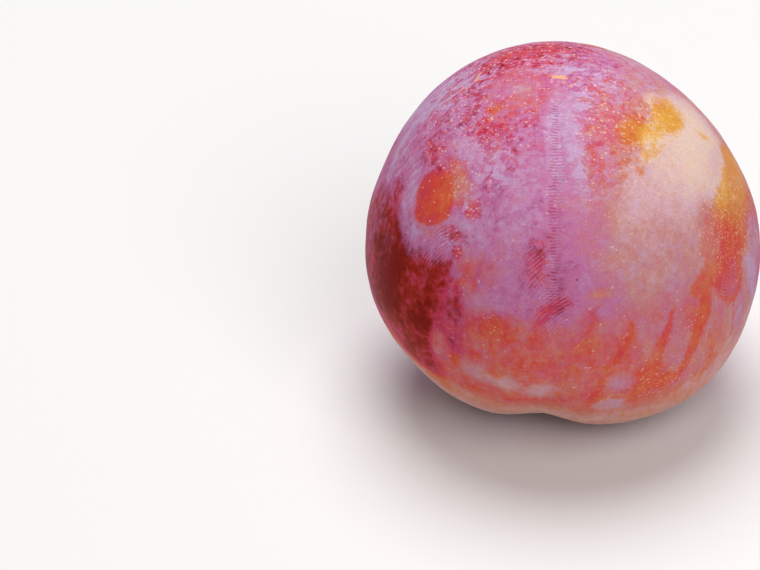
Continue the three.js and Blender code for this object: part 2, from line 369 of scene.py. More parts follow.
# How thoroughly those marks are rubbed, from 0 to 1.
RUB_BASE = 0.94
RUB_STROKES = [
    ("low half", 0, -12, 50, 13, 0.88, 6),
    ("low half right", 55, 8, 6, 4, 0.85, 4),
    ("band's left", 56, 25, 3, 4, 0.54, 2),
    ("band's heart", 60, 14, 2, 2.4, 1.0, 1.6, -20),
    ("band's right", 76, 17, 2, 4, 0.72, 2),
    ("ringed print", 59, 6.6, 2.2, 2.0, 0.45, 1.6),
    ("rosy flecks", 40, 66, 7, 4.5, 0.55, 4, 30),
    ("rosy flecks high", 90, 67, 6, 3, 0.36, 3),
    ("window's fringe", -47, 46, 4.4, 1.6, 0.6, 1.4, -26),
    ("front drip", 8, 5, 3, 7, 0.6, 3),
    ("drip's fan", 23.5, -3, 1.4, 2.6, 0.5, 0.8, 15),
    # Rubbed fully bare over the lower left, so that its dark red, partly painted shadow, shows clean.
    ("lower left", -52, 2, 8, 11, 1.0, 5),
    ("crown", -105, 70, 16, 10, 0.75, 6),
    ("crown drops", -46, 63.5, 3.6, 2.8, 0.6, 2, 20),
]

# What is painted on the skin: for each value, its base and its strokes.
PAINTED = {
    "blush": (BLUSH_BASE, BLUSH_STROKES),
    "bloom": (BLOOM_BASE, BLOOM_STROKES),
    "fleck": (FLECK_BASE, FLECK_STROKES),
    "smear": (SMEAR_BASE, SMEAR_STROKES),
    "dots": (DOT_BASE, DOT_STROKES),
    "rub": (RUB_BASE, RUB_STROKES),
}

# Finger prints in the bloom: (name, azimuth, elevation, half width, half height, turn, and the
# place in mm, to the right of and above its centre, that its ridges circle).
PRINTS = [
    ("finger rub", -4, 14, 4.2, 3.2, 30, (11, -12)),
    ("suture rub", -9, 26, 1.6, 4.5, -10, (14, -12)),
    ("drip's fan", 26, -3, 2.0, 2.8, 0, (-3, 12)),
    ("ringed print", 59, 7.2, 2.8, 3.0, 0, (-0.5, 0.1)),
    ("below the window", -46, 24, 2.6, 4.2, -20, (9, -5)),
    ("crown left", -70, 60, 2.6, 2.2, 0, (2, -6)),
    ("left cheek", -120, 20, 7, 5, 20, (3, -4)),
    ("back", 150, 35, 6, 7, 0, (-2, 5)),
    ("back low", -170, -5, 5, 5, 30, (6, 3)),
]
RIDGE_PITCH = 0.47  # mm

# Rings left by dried drops: (azimuth, elevation, radius in mm).
DROP_RINGS = [
    (-60, 58.6, 0.6), (-52, 62.7, 0.9), (-46, 62.5, 1.2), (-38, 62.7, 0.8), (-26, 55.8, 0.8),
    (-37, 52.4, 0.7), (-32, 47.2, 0.5), (-86, 48.7, 1.1), (-81, 47, 0.6), (-118, 40, 0.8),
    (165, 50, 0.9), (140, 14, 1.1), (-158, -20, 0.7),
]

# The suture: a band of fine ticks across its line, from the style scar to the finger rub.
SUTURE_AZIMUTH = -1.5
SUTURE_DRIFT = -8  # degrees to the left, at its low end
SUTURE_LOW_END = -54  # degrees above the core
SUTURE_START = 4.5  # mm along the skin from the crown
SUTURE_END = 33.0
TICK_PITCH = 0.43  # mm
TICK_REACH = 0.7
DASH_TILT = 38  # degrees that the dashes on the left shoulder climb
CROWN_LINE = (0, -0.81, 0.59)  # the line that the dashes lie across
CREASE_WIDTH = 0.4  # mm
CREASE_START = (2, 8)  # mm along the skin from the crown, over which it deepens
CREASE_END = (66, 76)  # and over which it fades out
SUTURE_FADE_IN, SUTURE_FADE_OUT = 3, 4  # mm

CAGE_SIDE = 1.8 * FRUIT_RADIUS  # mm, of the cube that becomes the cage
MERGE_DISTANCE = 0.01 * MM
SHOULDER_SIZE, DIMPLE_SIZE = 9 * MM, 2.2 * MM  # of the skin's soft unevenness
DIMPLE_SHARE = 0.2  # of the shoulders' height

# Scars of the style on the crown, as stops of (azimuth, elevation, half width).
STYLE_SCARS = [
    ("style scar", (-104, 86.6, 0.14), (-95, 88.2, 0.4), (90, 89.5, 0.55), (64, 88.4, 0.3)),
    ("cream streak", (4, 87.2, 0.12), (20, 86.4, 0.24)),
    ("cream streak below", (26, 84.6, 0.18), (40, 84.8, 0.2)),
    ("golden fleck", (-113, 64.3, 0.16), (-104, 64, 0.32)),
]
# The corky scar that the stalk left, in the stem hollow.
STEM_SCAR = (-100, -86.5)
STEM_SCAR_RADIUS = 2.1  # mm
STEM_RIM_INSET, STEM_RIM_WIDTH = 0.2, 0.35  # mm
SCAR_EDGE = (-0.25, 0.15)  # mm inside its line, over which the style scar rises
STEM_FLOOR_EDGE = (0.2, 1.0)  # mm inside the stem scar, over which its floor sinks

# Pigments from least to most: (name, strength, bare colour, colour under the usual bloom).
PIGMENTS = [
    ("gold", 0, (0.80, 0.47, 0.10), (0.80, 0.64, 0.52)),
    ("honey", 0.14, (0.74, 0.34, 0.06), (0.76, 0.54, 0.47)),
    ("amber", 0.28, (0.65, 0.225, 0.05), (0.67, 0.40, 0.44)),
    ("orange", 0.45, (0.65, 0.135, 0.055), (0.58, 0.25, 0.235)),
    ("scarlet", 0.59, (0.66, 0.070, 0.045), (0.57, 0.19, 0.27)),
    ("crimson", 0.76, (0.56, 0.045, 0.11), (0.55, 0.18, 0.375)),
    ("wine", 0.865, (0.39, 0.025, 0.016), (0.50, 0.14, 0.32)),
    # Maroon is the skin's darkest red, set deep enough to carry the painted shadow over the lower left.
    ("maroon", 1, (0.24, 0.008, 0.004), (0.33, 0.07, 0.14)),
]
# The skin's other colours: (name, where it shows, colour).
OTHER_COLOURS = [
    ("thick_bloom", "Bloom where it hides the skin", (0.55, 0.355, 0.56)),
    ("golden_lenticel", "Breathing spots on pale skin", (0.87, 0.54, 0.38)),
    ("pink_lenticel", "Breathing spots on red skin", (0.88, 0.54, 0.58)),
    ("speck", "Scattered dark specks", (0.22, 0.04, 0.10)),
    ("scar", "Style scar", (0.80, 0.45, 0.29)),
    ("scar_edge", "Rim of the style scar", (0.76, 0.32, 0.27)),
    ("cork", "Stem scar", (0.40, 0.25, 0.13)),
    ("cork_edge", "Rim of the stem scar", (0.16, 0.07, 0.04)),
]
REDDENED = (0.47, 0.66)  # blush over which the lenticels turn from golden to pink

# Bloom over which the veil closes, and over which it thickens.
VEIL = (-0.05, 0.7)
THICK = (0.6, 1.2)
# What a ridge of a print, a tick of the suture and a ring add to the bloom.
RIDGE_BLOOM, TICK_BLOOM, RING_BLOOM = 0.18, -0.32, -0.4
# What a ridge of a print and a winding mark take from the rubbing of a bare mark.
RIDGE_KEPT, MARK_KEPT = -0.62, -0.6
# Lenticels and dark specks: how far apart and how wide they are, in mm, and how many are there.
LENTICELS = {"spacing": 0.38, "radius": 0.2}
SPECKS = {"spacing": 3.2, "radius": 0.24, "amount": 0.8}
SPECK_STRENGTH = 0.7
# How far the point of each noise is shifted, in mm, so that it doesn't repeat another.
BLOOM_SHIFT, SPECK_SHIFT, BREAK_SHIFT, PATCH_SHIFT = 37.0, 37.0, 11.0, 5.0
# Gloss and relief.
BARE_ROUGHNESS, WAXED_ROUGHNESS = 0.36, 0.6
SKIN_SPECULAR = 0.02
RELIEF_STRENGTH = 0.4
RELIEF_HEIGHT = 0.04 * MM


# Directions and distances on the skin


def direction(azimuth, elevation):
    """The unit vector at an azimuth and an elevation."""
    a, e = math.radians(azimuth), math.radians(elevation)
    return np.array([math.cos(e) * math.sin(a), -math.cos(e) * math.cos(a), math.sin(e)])


def smooth(values, start, end):
    """0 before start, 1 after end, and an even S between them."""
    t = np.clip((values - start) / (end - start), 0, 1)
    return t * t * (3 - 2 * t)


def laid_flat(rays, azimuth, elevation):
    """Places of rays in millimetres, to the right of and above a centre on the skin."""
    centre = direction(azimuth, elevation)
    right = direction(azimuth + 90, 0)
    above = np.cross(centre, right)
    aside, up = rays @ right, rays @ above
    turned = np.arccos(np.clip(rays @ centre, -1, 1))
    reach = turned * FRUIT_RADIUS / np.maximum(np.hypot(aside, up), 1e-9)
    return aside * reach, up * reach


def inside_spot(rays, azimuth, elevation, half_width, half_height, turn=0, power=2.2):
    """Millimetres inside the edge of an oval spot, negative outside it."""
    x, y = laid_flat(rays, azimuth, elevation)
    c, s = math.cos(math.radians(turn)), math.sin(math.radians(turn))
    across, along = (c * x + s * y) / half_width, (c * y - s * x) / half_height
    reach = (np.abs(across) ** power + np.abs(along) ** power) ** (1 / power)
    return (1 - reach) * min(half_width, half_height)


def inside_streak(rays, stops):
    """Millimetres inside a streak through (azimuth, elevation, half width) stops."""
    inside = np.full(len(rays), -FRUIT_RADIUS)
    for (a0, e0, w0), (a1, e1, w1) in zip(stops, stops[1:]):
        middle = ((a0 + a1) / 2, (e0 + e1) / 2)
        x, y = laid_flat(rays, *middle)
        ends = np.array([direction(a0, e0), direction(a1, e1)])
        (x0, x1), (y0, y1) = laid_flat(ends, *middle)
        run = (x1 - x0) ** 2 + (y1 - y0) ** 2
        t = np.clip(((x - x0) * (x1 - x0) + (y - y0) * (y1 - y0)) / run, 0, 1)
        away = np.hypot(x - x0 - t * (x1 - x0), y - y0 - t * (y1 - y0))
        inside = np.maximum(inside, w0 + t * (w1 - w0) - away)
    return inside


def painted(rays, base, strokes):
    """A value for each ray, after every soft stroke is painted over the last."""
    values = np.full(len(rays), float(base))
    for _, azimuth, elevation, half_width, half_height, value, softness, *turn in strokes:
        inside = inside_spot(rays, azimuth, elevation, half_width, half_height, *turn, power=2.0)
        values += (value - values) * smooth(inside, -softness / 2, softness / 2)
    return values


def marked(rays, spots, streaks):
    """How far inside the nearest mark each ray is, in units of that mark's raggedness."""
    field = np.full(len(rays), -2.0)
    for _, azimuth, elevation, half_width, half_height, raggedness, *turn in spots:
        inside = inside_spot(rays, azimuth, elevation, half_width, half_height, *turn)
        field = np.maximum(field, inside / raggedness)
    for _, raggedness, *stops in streaks:
        field = np.maximum(field, inside_streak(rays, stops) / raggedness)
    return np.clip(field, -2, 2)


def printed(rays, prints):
    """How far inside the nearest print each ray is, in mm, and its count of ridges from the whorl."""
    inside, phase = np.full(len(rays), -3.0), np.zeros(len(rays))
    for _, *oval, (right, above) in prints:
        here = inside_spot(rays, *oval)
        x, y = laid_flat(rays, *oval[:2])
        nearer = here > inside
        inside = np.where(nearer, here, inside)
        phase = np.where(nearer, np.hypot(x - right, y - above) / RIDGE_PITCH, phase)
    return inside, phase


def ringed(rays, rings):
    """Millimetres outside the nearest ring's line, negative inside the ring."""
    away = np.full(len(rays), 3.0)
    for azimuth, elevation, radius in rings:
        x, y = laid_flat(rays, azimuth, elevation)
        here = np.hypot(x, y) - radius
        away = np.where(np.abs(here) < np.abs(away), here, away)
    return away


def seam_places(rays):
    """Millimetres to the right of the suture's line, and along it from the crown."""
    elevation = np.degrees(np.arcsin(np.clip(rays[:, 2], -1, 1)))
    azimuth = np.degrees(np.arctan2(rays[:, 0], -rays[:, 1]))
    wander = SUTURE_DRIFT * smooth(-elevation, 0, -SUTURE_LOW_END)
    aside = np.radians(azimuth - SUTURE_AZIMUTH - wander)
    front = np.cos(aside) > 0
    across = FRUIT_RADIUS * np.hypot(rays[:, 0], rays[:, 1]) * np.sin(aside)
    along = np.radians(90 - elevation) * FRUIT_RADIUS
    return np.where(front, np.clip(across, -5, 5), 5), along


# Mesh tools


def deselect_all():
    for item in bpy.context.selected_objects:
        item.select_set(False)


def make_active(item):
    deselect_all()
    item.select_set(True)
    bpy.context.view_layer.objects.active = item


def apply_modifier(item, kind, **settings):
    """Adds a modifier, sets it and applies it."""
    make_active(item)
    modifier = item.modifiers.new(kind.title(), kind)
    for name, value in settings.items():
        setattr(modifier, name, value)
    bpy.ops.object.modifier_apply(modifier=modifier.name)


def rays_of(mesh):
    """The unit vectors from the core to a mesh's points."""
    places = np.empty(len(mesh.vertices) * 3)
    mesh.vertices.foreach_get("co", places)
    arms = places.reshape(-1, 3) - np.array(CORE)
    return arms / np.linalg.norm(arms, axis=1)[:, None]


def store(mesh, name, values):
    """Keeps a value for each point as an attribute that materials read."""
    layer = mesh.attributes.new(name, "FLOAT", "POINT")
    layer.data.foreach_set("value", np.asarray(values, np.float32))


def raise_skin(item, name, weights, height, axis="NORMAL"):
    """Moves points by a height in metres times their weights, outwards or along an axis."""
    group = item.vertex_groups.new(name=name)
    for index in np.flatnonzero(weights > 0.001):
        group.add([int(index)], float(weights[index]), "REPLACE")
    shift = {"vertex_group": name, "strength": height, "mid_level": 0, "direction": axis}
    apply_modifier(item, "DISPLACE", **shift)


def roughen(item, name, size, height):
    """Lets the surface rise and fall in soft clouds of a size and height in metres."""
    clouds = bpy.data.textures.new(name, "CLOUDS")
    clouds.noise_scale = size
    clouds.noise_depth = 2
    apply_modifier(item, "DISPLACE", texture=clouds, texture_coords="LOCAL", strength=height)


# Shader tools


def title_of(name):
    """A name in plain words, as a socket or a setting shows it."""
    return name.replace("_", " ").title()


class Graph:
    """Adds nodes to one tree and links them, socket by socket."""

    def __init__(self, tree):
        self.tree = tree

    def node(self, kind, **settings):
        made = self.tree.nodes.new(kind)
        for name, value in settings.items():
            setattr(made, name, value)
        return made

    def feed(self, socket, value):
        """Links a socket to another, or sets its own value."""
        if isinstance(value, bpy.types.NodeSocket):
            self.tree.links.new(value, socket)
        else:
            socket.default_value = value

    def wire(self, kind, fed, output=0, **settings):
        """Adds a node, feeds the inputs that are named or numbered, and gives one output."""
        made = self.node(kind, **settings)
        for name, value in fed.items():
            self.feed(made.inputs[name], value)
        return made.outputs[output]

    def maths(self, operation, *values, clamp=False):
        fed = dict(enumerate(values))
        return self.wire("ShaderNodeMath", fed, operation=operation, use_clamp=clamp)

    def plus(self, *values):
        return self.maths("ADD", *values)

    def minus(self, *values):
        return self.maths("SUBTRACT", *values)

    def times(self, *values):
        return self.maths("MULTIPLY", *values)

    def times_plus(self, *values):
        return self.maths("MULTIPLY_ADD", *values)

    def step(self, value, start, end):
        """0 before start, 1 after end, and an even S between them."""
        fed = {"Value": value, "From Min": start, "From Max": end}
        return self.wire("ShaderNodeMapRange", fed, interpolation_type="SMOOTHSTEP")

    def fall(self, value, start, end):
        """1 before start, 0 after end, and an even S between them."""
        return self.minus(1, self.step(value, start, end))

    def mix(self, factor, under, over, blend="MIX"):
        """A colour laid over another, by the colour sockets of a Mix node."""
        fed = {0: factor, 6: under, 7: over}
        return self.wire("ShaderNodeMix", fed, 2, data_type="RGBA", blend_type=blend)

    def ramp(self, value, stops):
        """A colour for a value, from a list of (position, colour) stops."""
        made = self.node("ShaderNodeValToRGB")
        marks = made.color_ramp.elements
        while len(marks) < len(stops):
            marks.new(0.5)
        for mark, (position, colour) in zip(marks, stops):
            mark.position = position
            mark.color = (*colour, 1)
        self.feed(made.inputs[0], value)
        return made.outputs[0]

    def noise(self, point, grain, detail=3, roughness=0.55):
        """Cloudy noise about 0.5, with grain clouds to a millimetre."""
        fed = {"Vector": point, "Scale": grain, "Detail": detail, "Roughness": roughness}
        return self.wire("ShaderNodeTexNoise", fed, "Fac")

    def cloud(self, *grain):
        """The same noise about 0."""
        return self.minus(self.noise(*grain), 0.5)

    def stretched(self, point, scale):
        """The point scaled along each axis, so that a pattern is drawn out where it is small."""
        return self.wire("ShaderNodeVectorMath", {0: point, 1: scale}, operation="MULTIPLY")

    def moved(self, point, offset):
        """The point shifted by an offset in millimetres."""
        fed = {0: point, 1: (offset, -offset, 2 * offset)}
        return self.wire("ShaderNodeVectorMath", fed, operation="ADD")

    def turned(self, point, degrees):
        """The point turned about the line that looks up at the crown."""
        fed = {"Vector": point, "Axis": CROWN_LINE, "Angle": math.radians(degrees)}
        return self.wire("ShaderNodeVectorRotate", fed, rotation_type="AXIS_ANGLE")

    def painted(self, name):
        """A value that was painted on the skin."""
        return self.wire("ShaderNodeAttribute", {}, "Fac", attribute_name=name)

    def millimetres(self):
        """The place on the piece, in millimetres."""
        place = self.wire("ShaderNodeTexCoord", {}, "Object")
        return self.wire("ShaderNodeVectorMath", {0: place, "Scale": 1 / MM}, operation="SCALE")

    def use(self, group, **values):
        """Places a node group, feeds its inputs and returns its outputs."""
        made = self.node("ShaderNodeGroup", node_tree=group)
        for name, value in values.items():
            self.feed(made.inputs[title_of(name)], value)
        return made.outputs


def new_group(name, inputs, outputs):
    """An empty node group with its sockets of (title, kind), and what its inputs give."""
    group = bpy.data.node_groups.new(name, "ShaderNodeTree")
    for in_out, sockets in (("INPUT", inputs), ("OUTPUT", outputs)):
        for title, kind in sockets:
            group.interface.new_socket(title, in_out=in_out, socket_type=kind)
    graph = Graph(group)
    given = graph.node("NodeGroupInput").outputs
    result = graph.node("NodeGroupOutput").inputs
    return group, graph, given, result


FLOAT, VECTOR, COLOUR = "NodeSocketFloat", "NodeSocketVector", "NodeSocketColor"


def ragged_edge_group():
    """Turns a distance inside a mark into a mask with a broken edge."""
    group, graph, given, result = new_group(
        "Ragged Edge", [("Inside", FLOAT), ("Point", VECTOR), ("Wander", FLOAT)], [("Mask", FLOAT)]
    )
    coarse = graph.times(graph.noise(given["Point"], 1.1, 2), 0.5)
    wander = graph.times_plus(graph.noise(given["Point"], 3.6, 3, 0.7), 0.5, coarse)
    shift = graph.times(graph.minus(wander, 0.5), given["Wander"])
    graph.feed(result["Mask"], graph.step(graph.plus(given["Inside"], shift), -0.45, 0.45))
    return group


def lenticel_group():
    """Small round breathing spots, scattered at random and of uneven size."""
    group, graph, given, result = new_group(
        "Lenticels",
        [("Point", VECTOR), ("Spacing", FLOAT), ("Radius", FLOAT), ("Amount", FLOAT)],
        [("Dots", FLOAT)],
    )
    cells = graph.node("ShaderNodeTexVoronoi")
    graph.feed(cells.inputs["Vector"], given["Point"])
    graph.feed(cells.inputs["Scale"], graph.maths("DIVIDE", 1, given["Spacing"]))
    away = graph.times(cells.outputs["Distance"], given["Spacing"])
    chance = graph.node("ShaderNodeSeparateColor")
    graph.feed(chance.inputs[0], cells.outputs["Color"])
    cluster = graph.times_plus(graph.noise(given["Point"], 0.9, 2), 2.4, -0.2)
    amount = graph.times(given["Amount"], cluster)
    kept = graph.maths("LESS_THAN", chance.outputs[0], amount)
    uneven = graph.times_plus(chance.outputs[1], chance.outputs[1], 0.4)
    size = graph.times(given["Radius"], uneven)
    inner = graph.times(size, 0.3)
    dots = graph.fall(away, inner, size)
    strength = graph.times(kept, graph.plus(0.35, chance.outputs[2]))
    graph.feed(result["Dots"], graph.maths("MULTIPLY", dots, strength, clamp=True))
    return group


def mottle_group():
    """Clouds of three sizes that shift a smooth value."""
    group, graph, given, result = new_group(
        "Mottle",
        [("Value", FLOAT), ("Point", VECTOR), ("Broad", FLOAT), ("Middle", FLOAT), ("Fine", FLOAT)],
        [("Value", FLOAT)],
    )
    value = given["Value"]
    for name, grain, detail, roughness in (
        ("Broad", 0.3, 2, 0.5),
        ("Middle", 1.0, 3, 0.6),
        ("Fine", 3.6, 3, 0.8),
    ):
        clouds = graph.cloud(given["Point"], grain, detail, roughness)
        value = graph.times_plus(clouds, given[name], value)
    graph.feed(result["Value"], value)
    return group


def rubbing_group():
    """How the bloom is broken: into worn, winding marks round the crown, and upright smears."""
    group, graph, given, result = new_group(
        "Rubbing",
        [("Point", VECTOR), ("Fleck", FLOAT), ("Smear", FLOAT)],
        [("Change", FLOAT), ("Marks", FLOAT)],
    )
    aside = graph.wire("ShaderNodeSeparateXYZ", {0: given["Point"]}, "X")
    left = graph.step(graph.times(aside, -1), 5, 13)
    clouds = []
    for tilt in (0, -DASH_TILT):
        turned = graph.stretched(graph.turned(given["Point"], tilt), (0.75, 1.3, 1.3))
        clouds.append(graph.noise(turned, 0.66, 1.5, 0.5))
    change = graph.minus(clouds[1], clouds[0])
    winding = graph.times_plus(change, left, clouds[0])
    off_line = graph.maths("ABSOLUTE", graph.minus(winding, 0.47))
    on_line = graph.fall(off_line, 0.03, 0.12)
    breaks = graph.step(graph.noise(graph.moved(given["Point"], BREAK_SHIFT), 0.85, 1), 0.42, 0.52)
    dashes = graph.times(on_line, breaks)
    blobs = graph.fall(winding, 0.29, 0.4)
    marks = graph.times(graph.maths("MAXIMUM", dashes, blobs), given["Fleck"])
    graph.feed(result["Marks"], marks)
    upright = graph.stretched(given["Point"], (1.5, 1.5, 0.35))
    smears = graph.cloud(upright, 0.8, 3, 0.6)
    smears = graph.times(smears, graph.times(given["Smear"], 2.2))
    graph.feed(result["Change"], graph.times_plus(marks, -0.7, smears))
    return group


def finger_print_group():
    """Ridges of a finger's print, 1 on a ridge and -1 between two, fading out in patches."""
    group, graph, given, result = new_group(
        "Finger Print", [("Inside", FLOAT), ("Phase", FLOAT), ("Point", VECTOR)], [("Ridges", FLOAT)]
    )
    waver = graph.times(graph.noise(given["Point"], 0.5, 2), 1.2)
    turns = graph.times(graph.plus(given["Phase"], waver), 2 * math.pi)
    ridges = graph.maths("SINE", turns)
    patches = graph.step(graph.noise(graph.moved(given["Point"], PATCH_SHIFT), 0.5, 2), 0.36, 0.56)
    within = graph.times(graph.step(given["Inside"], -0.5, 0.9), patches)
    graph.feed(result["Ridges"], graph.times(ridges, within))
    return group


def suture_group():
    """Short ticks across the suture, long on its left and faint on its right."""
    group, graph, given, result = new_group(
        "Suture Ticks", [("Across", FLOAT), ("Along", FLOAT), ("Point", VECTOR)], [("Ticks", FLOAT)]
    )
    waver = graph.times(graph.noise(given["Point"], 0.7, 2), 1.6)
    count = graph.times_plus(given["Along"], 1 / TICK_PITCH, waver)
    place = graph.maths("FRACT", count)
    line = graph.maths("ABSOLUTE", graph.minus(place, 0.5))
    line = graph.fall(line, 0.08, 0.34)
    tick = graph.maths("FLOOR", count)
    chance = graph.wire("ShaderNodeTexWhiteNoise", {"W": tick}, "Value", noise_dimensions="1D")
    reach = graph.times_plus(chance, 0.8, TICK_REACH)
    off_left = graph.minus(graph.times(given["Across"], -1), reach)
    left = graph.fall(off_left, -0.15, 0.1)
    middle = graph.step(given["Across"], -0.2, 0.05)
    right = graph.fall(given["Across"], 0.5, 1.3)
    strength = graph.times_plus(middle, -0.6, 1)
    band = graph.times(graph.times(left, right), strength)
    graph.feed(result["Ticks"], graph.times(line, band))
    return group


def scar_group():
    """Lays the style's peach scars and the stem's corky scar over the skin's colour."""
    colours = [(title, COLOUR) for title in ("Skin", "Scar", "Scar Edge", "Cork", "Cork Edge")]
    group, graph, given, result = new_group(
        "Scars",
        [*colours, ("Style", FLOAT), ("Stem", FLOAT), ("Point", VECTOR)],
        [("Colour", COLOUR)],
    )
    cloud = graph.noise(given["Point"], 3.0, 3, 0.7)
    waver = graph.times(graph.minus(cloud, 0.5), 0.8)
    inside = graph.plus(given["Style"], waver)
    peach = graph.mix(graph.step(inside, 0.02, 0.22), given["Scar Edge"], given["Scar"])
    colour = graph.mix(graph.step(inside, -0.12, 0.08), given["Skin"], peach)
    inside = graph.times_plus(waver, 1.6, given["Stem"])
    cork = graph.mix(graph.step(cloud, 0.35, 0.6), given["Cork Edge"], given["Cork"])
    cork = graph.mix(graph.step(inside, 0.1, 0.6), given["Cork Edge"], cork)
    graph.feed(result["Colour"], graph.mix(graph.step(inside, -0.25, 0.15), colour, cork))
    return group


def laid_bloom(graph, mottle, point, fleck):
    """The bloom's thickness with all that is drawn in it, and the marks that other parts use."""
    smear = graph.painted("smear")
    cloudy = graph.times_plus(graph.plus(fleck, smear), 0.35, 0.35)
    clouds = {"point": graph.moved(point, BLOOM_SHIFT), "broad": cloudy, "middle": cloudy, "fine": 0.3}
    bloom = graph.use(mottle, value=graph.painted("bloom"), **clouds)[0]
    worn = graph.use(rubbing_group(), point=point, fleck=fleck, smear=smear)
    bloom = graph.plus(bloom, worn["Change"])
    print_at = {"inside": graph.painted("print_inside"), "phase": graph.painted("print_phase")}
    ridges = graph.use(finger_print_group(), point=point, **print_at)[0]
    bloom = graph.times_plus(ridges, RIDGE_BLOOM, bloom)
    seam_at = {"across": graph.painted("seam_across"), "along": graph.painted("seam_along")}
    ticks = graph.use(suture_group(), point=point, **seam_at)[0]
    started = graph.step(seam_at["along"], SUTURE_START, SUTURE_START + SUTURE_FADE_IN)
    ended = graph.fall(seam_at["along"], SUTURE_END, SUTURE_END + SUTURE_FADE_OUT)
    ticks = graph.times(ticks, graph.times(started, ended))
    bloom = graph.times_plus(ticks, TICK_BLOOM, bloom)
    ring = graph.plus(graph.painted("drop_ring"), graph.cloud(point, 1.4, 2))
    ring = graph.fall(graph.maths("ABSOLUTE", ring), 0.02, 0.2)
    return graph.times_plus(ring, RING_BLOOM, bloom), worn, ridges, ticks


def skin_material(colours):
    """Fruit skin: pigment from gold to maroon under a waxy bloom that marks have rubbed through."""
    material = bpy.data.materials.new(SKIN_SLOT)
    material.use_nodes = True
    graph = Graph(material.node_tree)
    shader = material.node_tree.nodes["Principled BSDF"]
    mottle = mottle_group()
    point = graph.millimetres()
    shades = {name: (*getattr(colours, name), 1) for name, *_ in OTHER_COLOURS}
    fleck = graph.painted("fleck")
    blush = graph.painted("blush")
    broad = graph.times(blush, 0.6)
    clouds = {"point": point, "broad": broad, "middle": graph.times_plus(fleck, 0.3, broad)}
    blush = graph.use(mottle, value=blush, fine=0.12, **clouds)[0]
    bare_skin, waxed_skin = (
        graph.ramp(blush, [(step, getattr(colours, kind + name)) for name, step, *_ in PIGMENTS])
        for kind in ("", "waxed_")
    )

    bloom, worn, ridges, ticks = laid_bloom(graph, mottle, point, fleck)
    bare = graph.use(ragged_edge_group(), inside=graph.painted("bare"), point=point, wander=3.2)[0]
    between = graph.times_plus(graph.maths("MAXIMUM", ridges, 0), RIDGE_KEPT, 1)
    rubbed = graph.times(graph.painted("rub"), between)
    rubbed = graph.times_plus(worn["Marks"], MARK_KEPT, rubbed)
    kept = graph.minus(1, graph.times(bare, rubbed))
    cover = graph.times(graph.step(bloom, *VEIL), kept)
    heavy = graph.times(graph.step(bloom, *THICK), kept)
    colour = graph.mix(cover, bare_skin, waxed_skin)
    colour = graph.mix(heavy, colour, shades["thick_bloom"])

    across = graph.stretched(point, (0.75, 1.1, 1.1))
    lenticels = lenticel_group()
    dots = graph.use(lenticels, point=across, amount=graph.painted("dots"), **LENTICELS)[0]
    reddened = graph.step(blush, *REDDENED)
    pale_dot = graph.mix(reddened, shades["golden_lenticel"], shades["pink_lenticel"])
    shown_dot = graph.times(dots, graph.times_plus(fleck, 0.5, 0.4))
    colour = graph.mix(shown_dot, colour, pale_dot)
    specks = graph.use(lenticels, point=graph.moved(point, SPECK_SHIFT), **SPECKS)[0]
    colour = graph.mix(graph.times(specks, SPECK_STRENGTH), colour, shades["speck"])
    scars = {name: shades[name] for name in ("scar", "scar_edge", "cork", "cork_edge")}
    scar_at = {"style": graph.painted("style_scar"), "stem": graph.painted("stem_scar")}
    colour = graph.use(scar_group(), skin=colour, point=point, **scars, **scar_at)[0]

    crisp = graph.times_plus(fleck, 0.65, 0.5)
    grain = graph.times_plus(graph.cloud(point, 4.5, 2, 0.8), crisp, 1)
    grain = graph.times_plus(worn["Change"], 0.12, grain)
    grain = graph.times_plus(ticks, -0.12, grain)
    shade = graph.wire("ShaderNodeCombineColor", {0: grain, 1: grain, 2: grain})
    colour = graph.mix(1, colour, shade, "MULTIPLY")
    graph.feed(shader.inputs["Base Color"], colour)
    graph.feed(shader.inputs["Specular IOR Level"], SKIN_SPECULAR)

    ends = {"Value": cover, "To Min": BARE_ROUGHNESS, "To Max": WAXED_ROUGHNESS}
    graph.feed(shader.inputs["Roughness"], graph.wire("ShaderNodeMapRange", ends))

    relief = graph.plus(graph.times(cover, 0.5), graph.times(grain, 0.5))
    relief = graph.times_plus(dots, 0.6, relief)
    fed = {"Strength": RELIEF_STRENGTH, "Distance": RELIEF_HEIGHT, "Height": relief}
    graph.feed(shader.inputs["Normal"], graph.wire("ShaderNodeBump", fed))
    return material


# The fruit


def smooth_guide():
    """A merged, rounded copy of the CAD fruit, for the skin to be fitted to."""
    make_active(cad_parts[NODE])
    bpy.ops.object.duplicate()
    guide = bpy.context.object
    bpy.ops.object.mode_set(mode="EDIT")
    bpy.ops.mesh.select_all(action="SELECT")
    bpy.ops.mesh.remove_doubles(threshold=MERGE_DISTANCE)
    bpy.ops.object.mode_set(mode="OBJECT")
    apply_modifier(guide, "SUBSURF", levels=1, render_levels=1)
    return guide


def add_cage(cuts):
    """A closed ball of even quads round the core, a little larger than the fruit."""
    deselect_all()
    bpy.ops.mesh.primitive_cube_add(size=CAGE_SIDE * MM, location=CORE)
    cage = bpy.context.object
    bpy.ops.object.mode_set(mode="EDIT")
    bpy.ops.mesh.select_all(action="SELECT")
    bpy.ops.mesh.subdivide(number_cuts=cuts)
    bpy.ops.transform.tosphere(value=1)
    bpy.ops.object.mode_set(mode="OBJECT")
    return cage


def make_skin_mesh(shape):
    """The cage drawn in onto the guide, rounded off once more."""
    guide = smooth_guide()
    skin = add_cage(shape.cage_cuts)
    skin.name = skin.data.name = FRUIT_NAME
    inwards = {"use_negative_direction": True, "use_positive_direction": False}
    apply_modifier(skin, "SHRINKWRAP", target=guide, wrap_method="PROJECT", **inwards)
    bpy.data.objects.remove(guide)
    make_active(skin)
    bpy.ops.object.transform_apply(location=True, rotation=True, scale=True)
    apply_modifier(skin, "SMOOTH", factor=0.5, iterations=2)
    apply_modifier(skin, "SUBSURF", levels=1, render_levels=1)
    return skin


